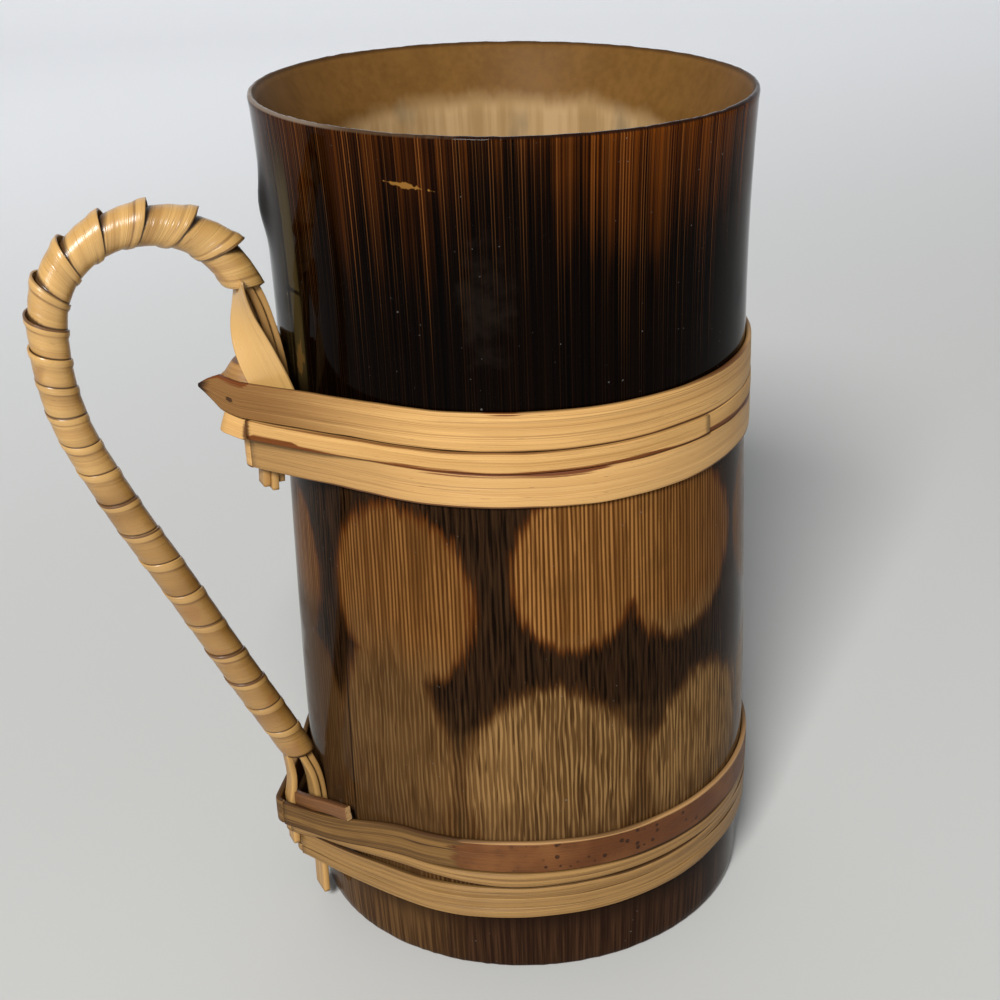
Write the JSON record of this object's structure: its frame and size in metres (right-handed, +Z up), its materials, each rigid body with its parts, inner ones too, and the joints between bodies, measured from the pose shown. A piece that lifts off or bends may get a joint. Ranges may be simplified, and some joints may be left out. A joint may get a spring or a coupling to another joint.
{
  "type": "bamboo cup",
  "caption": "Bamboo drinking cup with a scraped rim and burnt spots, and a rattan-wrapped hook handle lashed to its side by two bands of split rattan strips.",
  "frame": {"origin": "on the cup's axis, in the plane of the base ring that stands on the table", "axes": "+Z up along the cup's axis; the handle points along -X, in the XZ plane"},
  "size_m": [0.1175, 0.0806, 0.141],
  "materials": {
    "bamboo": "lacquered, burnt in spots",
    "rattan_core": "raw split rattan",
    "rattan_wrap": "glossy rattan skin",
    "rattan_band": "raw split rattan",
    "rattan_skin": "brown rattan skin"
  },
  "bodies": {
    "root": {"cup_culm": "bamboo", "handle_outer_strip": "rattan_core", "handle_middle_strip": "rattan_core", "handle_finger_strip": "rattan_core", "handle_wrap": "rattan_wrap", "upper_band_top_strip": "rattan_band", "upper_band_middle_strip": "rattan_band", "upper_band_bottom_strip": "rattan_band", "upper_lock_strip": "rattan_band", "lower_band_top_strip": "rattan_skin", "lower_band_middle_strip": "rattan_band", "lower_band_bottom_strip": "rattan_band", "lower_lock_strip": "rattan_band"}
  },
  "joints": []
}
